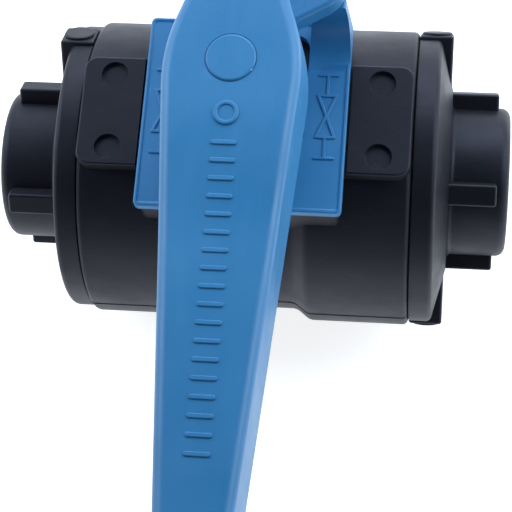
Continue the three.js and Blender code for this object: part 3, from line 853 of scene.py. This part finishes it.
def lever_side():
    """One side of the lever from its tail to its tip, as (half width, y)."""
    shoulder = lever_half(SHOULDER)
    tail = shoulder - HEAD_LEAN * (LEVER_TAIL - SHOULDER)
    head = soften([(tail - 4, LEVER_TAIL, 0), (tail, LEVER_TAIL, 2.6), (shoulder, SHOULDER, 35.0),
                   (lever_half(TAPER_FROM), TAPER_FROM, 0)], steps=12)
    tip_radius = lever_half(-LEVER_REACH)
    tip_y = tip_radius - LEVER_REACH
    count = 22
    along = [TAPER_FROM + (tip_y - TAPER_FROM) * i / count for i in range(1, count)]
    arm = [Vector((lever_half(y), y)) for y in along]
    return head + arm + arc(0, tip_y, tip_radius, 0, -86, 16)


def lever_top(y):
    """How high the lever's top face is. It drops a little from the head to the arm."""
    way = max(0.0, min(1.0, (y - DROP_END) / DROP_LENGTH))
    return LEVER_TOP - ARM_DROP * (1 - way * way * (3 - 2 * way))


def lever_shell():
    """The lever's outer shape: leaning sides, a soft top edge, and a slightly crowned top face."""
    side = lever_side()
    outline = [Vector((-p.x, p.y)) for p in side] + list(reversed(side))
    levels = rounding(LEVER_BOTTOM, LEVER_TOP, 0.4, 2.0, 7, DRAFT)
    bm = bmesh.new()
    rings = [[bm.verts.new((p.x, p.y, z)) for p in inset(outline, away)] for z, away in levels]
    for lower, upper in zip(rings, rings[1:]):
        bridge(bm, lower, upper)
    bm.faces.new(rings[0])
    top, columns, rungs = rings[-1], 8, len(side)
    rows = []
    for i in range(rungs):
        left, right = top[i], top[-1 - i]
        inner = []
        if 0 < i < rungs - 1:
            inner = [bm.verts.new(left.co.lerp(right.co, c / columns)) for c in range(1, columns)]
        rows.append([left, *inner, right])
    for upper, lower in zip(rows, rows[1:]):
        if len(upper) == len(lower):
            for c in range(columns):
                bm.faces.new((upper[c], upper[c + 1], lower[c + 1], lower[c]))
        else:
            bm.faces.new((*upper, *reversed(lower)))
    for vert in bm.verts:
        lift = max(0.0, (vert.co.z - LEVER_BOTTOM) / (LEVER_TOP - LEVER_BOTTOM))
        width = max(1.0, HEAD_HALF if vert.co.y > 0 else lever_half(vert.co.y))
        crown = CROWN * max(0.0, 1 - (vert.co.x / width) ** 2) * lift
        vert.co.z += lift * (lever_top(vert.co.y) - LEVER_TOP) + crown - CROWN * lift
    return to_object("lever_moulding", bm)


def lever_cells():
    """The cored cells of the underside, with soft corners and cross ribs left between them."""
    pitch = (CELL_START - CELL_END) / CELL_COUNT
    cells = []
    for i in range(CELL_COUNT):
        near = CELL_START - i * pitch - CELL_RIB / 2
        far = near - pitch + CELL_RIB
        wide, narrow = lever_half(near) - LEVER_WALL - 1, lever_half(far) - LEVER_WALL - 1
        corners = [(wide, near), (-wide, near), (-narrow, far), (narrow, far)]
        outline = soften([(x, y, CELL_CORNER) for x, y in corners], closed=True, steps=4)
        cells.append(stack("cell", outline, rounding(LEVER_BOTTOM - 1, CELL_ROOF, 0, 0.9, 3, 0.015)))
    return gather("cells", cells)


def padlock_ear():
    """The ear's front edge leaves the head in a straight line and meets its round end as a tangent."""
    round_end = arc(LUG_X, LUG_Y, EAR_RADIUS, EAR_LEAN - 90, 130, 28)
    lean = math.radians(EAR_LEAN)
    run = Vector((math.cos(lean), math.sin(lean)))
    outline = [round_end[0] - run * EAR_RUN] + round_end + [Vector(EAR_ROOT)]
    return stack("ear", outline, rounding(LEVER_BOTTOM, EAR_TOP, 0.4, 0.9, 5))


def grip_marks():
    """Fine raised bars along the arm, and a plain ring between them and the cap."""
    marks = []
    for i in range(GRIP_COUNT):
        y = GRIP_START + (GRIP_END - GRIP_START) * i / (GRIP_COUNT - 1)
        level = lever_top(y)
        outline = rectangle(-GRIP_HALF_X, GRIP_HALF_X, y - GRIP_HALF_Y, y + GRIP_HALF_Y, 0.4)
        marks.append(stack("bar", outline, rounding(level - GRIP_ROOT, level + GRIP_RISE, 0, 0.2, 3)))
    low, high = lever_top(GRIP_RING_Y) - GRIP_ROOT, lever_top(GRIP_RING_Y) + GRIP_RISE
    outer, inner = GRIP_HALF_X, GRIP_HALF_X - GRIP_RING_WIDTH
    section = soften([(inner, low, 0), (outer, low, 0), (outer, high, 0.2), (inner, high, 0.2)],
                     closed=True, steps=3)
    marks.append(lathe("ring", section, Matrix.Translation((0, GRIP_RING_Y, 0)), 40, closed=True))
    return gather("marks", marks)


def lever():
    made = lever_shell()
    add_to(made, rod("hub", 0, 0, HUB_RADIUS, HUB_BOTTOM, LEVER_BOTTOM + 3, 0, 0.4, 72), padlock_ear())
    cut_from(made, lever_cells())
    tooth = band(STOP_INNER, STOP_OUTER, -TOOTH_HALF, TOOTH_HALF, TOOTH_BOTTOM, HUB_BOTTOM + 1, 0)
    add_to(made, grip_marks(), tooth)
    socket = rectangle(-SOCKET_HALF, SOCKET_HALF, -SOCKET_HALF, SOCKET_HALF, 0.4)
    cut_from(made, stack("socket", socket, rounding(HUB_BOTTOM - 1, SOCKET_ROOF)))
    cut_from(made, rod("neck_room", 0, 0, NECK_ROOM, HUB_BOTTOM - 1, NECK_ROOM_TOP))
    cut_from(made, rod("screw_hole", 0, 0, SCREW_HOLE, 40, WEB_TOP + 1))
    cut_from(made, eased_hole(0, 0, CAP_RADIUS + 0.05, WEB_TOP, LEVER_TOP, 0.06, floor=True))
    cut_from(made, eased_hole(LUG_X, LUG_Y, EYE_RADIUS, LEVER_BOTTOM, EAR_TOP, 0.45))
    return made


def screw_cap():
    """A flat cap that stands a little proud of the lever, with a plug that grips its recess."""
    top = cap_high.z - 0.05
    corners = [(0, CAP_BOTTOM, 0), (PLUG_INNER, CAP_BOTTOM, 0.2), (PLUG_INNER, PLUG_BOTTOM, 0.2),
               (PLUG_OUTER, PLUG_BOTTOM, 0.3), (PLUG_OUTER, CAP_BOTTOM, 0), (CAP_RADIUS, CAP_BOTTOM, 0.2),
               (CAP_RADIUS, top - 0.05, 0.5), (0, top, 0)]
    return lathe("screw_cap_dome", soften(corners, steps=6), segments=96)


# ------------------------------------------------------------------ the assembly
FIXED, TURNING, BALL = "valve_body", "lever_and_stem", "ball"
show(body_casing(), BLACK, FIXED, "body_casing")
show(end_connector("right_threaded_end", RIGHT_TURN, False), BLACK, FIXED, "right_end_connector")
show(end_connector("left_threaded_end", -LEFT_TURN, True), BLACK, FIXED, "left_end_connector")
show(position_plate(), PLATE_BLUE, FIXED, "position_plate")
show(lever(), BLUE, TURNING, "lever")
show(screw_cap(), BLUE, TURNING, "screw_cap")
show(ball(), BALL_BLACK, BALL, "ball")

INNER = {
    BALL_BLACK: ["stem"],
    WHITE: ["right_ball_seat", "left_ball_seat", "stem_thrust_washer", "stem_bush"],
    RUBBER: ["right_body_o_ring", "left_body_o_ring", "right_seat_o_ring", "left_seat_o_ring",
             "stem_o_ring_lower", "stem_o_ring_upper"],
    STEEL: ["lever_washer", "lever_screw"],
    BRASS: ["stem_insert"],
}
for finish, nodes in INNER.items():
    for node in nodes:
        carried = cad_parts[node]
        carried.data.materials.clear()
        carried.data.materials.append(finish)


# ------------------------------------------------------------------ floor, light and camera
def floor():
    """A pale floor just under the valve, which glows like a light table, with a trace of mottling."""
    f = Finish("floor_paper", "floor")
    cloud = f.ramp(f.noise(3, 3), 0.35, 0.65)
    f.set(Base_Color=f.mix(cloud, (0.80, 0.80, 0.80), (0.84, 0.84, 0.84)), Roughness=0.9)
    f.set(Emission_Color=(1.0, 1.0, 1.0, 1.0), Emission_Strength=0.80)
    bm = bmesh.new()
    bmesh.ops.create_grid(bm, x_segments=8, y_segments=8, size=3000)
    sheet = to_object("studio_floor", bm, Matrix.Translation((0, 0, cad_low.z / MM - 0.15)))
    sheet.data.materials.append(f.material)


AIM = Vector((0, 0, 0.02))
COOL_WHITE = (0.72, 0.85, 1.0)


def softbox(name, place, size, watts):
    light = bpy.data.lights.new(name, "AREA")
    light.shape = "RECTANGLE"
    light.size, light.size_y = size
    light.energy = watts
    light.color = COOL_WHITE
    lamp = bpy.data.objects.new(name, light)
    lamp.location = place
    lamp.rotation_mode = "QUATERNION"
    lamp.rotation_quaternion = (AIM - Vector(place)).to_track_quat("-Z", "Y")
    bpy.context.scene.collection.objects.link(lamp)


def sky():
    """White round the horizon, most of all behind the valve, and dim overhead, like a light tent."""
    world = bpy.data.worlds.new("studio")
    world.use_nodes = True
    tree = world.node_tree
    way = tree.nodes.new("ShaderNodeTexCoord").outputs["Generated"]
    lean = tree.nodes.new("ShaderNodeVectorMath")
    lean.operation = "DOT_PRODUCT"
    lean.inputs[1].default_value = (0, -0.25, 1)
    tree.links.new(way, lean.inputs[0])
    fade = tree.nodes.new("ShaderNodeMapRange")
    for name, value in (("From Min", 0.05), ("From Max", 0.75), ("To Min", 1.0), ("To Max", 0.09)):
        fade.inputs[name].default_value = value
    tree.links.new(lean.outputs["Value"], fade.inputs["Value"])
    background = tree.nodes["Background"]
    background.inputs["Color"].default_value = (0.80, 0.89, 1.0, 1)
    tree.links.new(fade.outputs["Result"], background.inputs["Strength"])
    bpy.context.scene.world = world


def studio():
    sky()
    bpy.context.scene.view_settings.view_transform = "Standard"
    softbox("soft_left", (-0.65, 0.25, 0.5), (0.5, 0.5), 4.0)
    softbox("soft_right", (0.65, 0.25, 0.5), (0.5, 0.5), 4.5)
    softbox("soft_behind", (0.05, 0.55, 0.45), (0.6, 0.35), 3.6)


def camera():
    """Looks down on the lever from above, a little to the right and in front."""
    lens = bpy.data.cameras.new("camera")
    lens.sensor_width = 36.0
    lens.lens = 124.2
    lens.clip_start = 0.01
    view = bpy.data.objects.new("camera", lens)
    view.location = (0.0398, -0.1303, 0.3388)
    view.rotation_mode = "ZYX"
    view.rotation_euler = (math.radians(18.32), math.radians(6.22), math.radians(2.61))
    bpy.context.scene.collection.objects.link(view)
    bpy.context.scene.camera = view


floor()
studio()
camera()
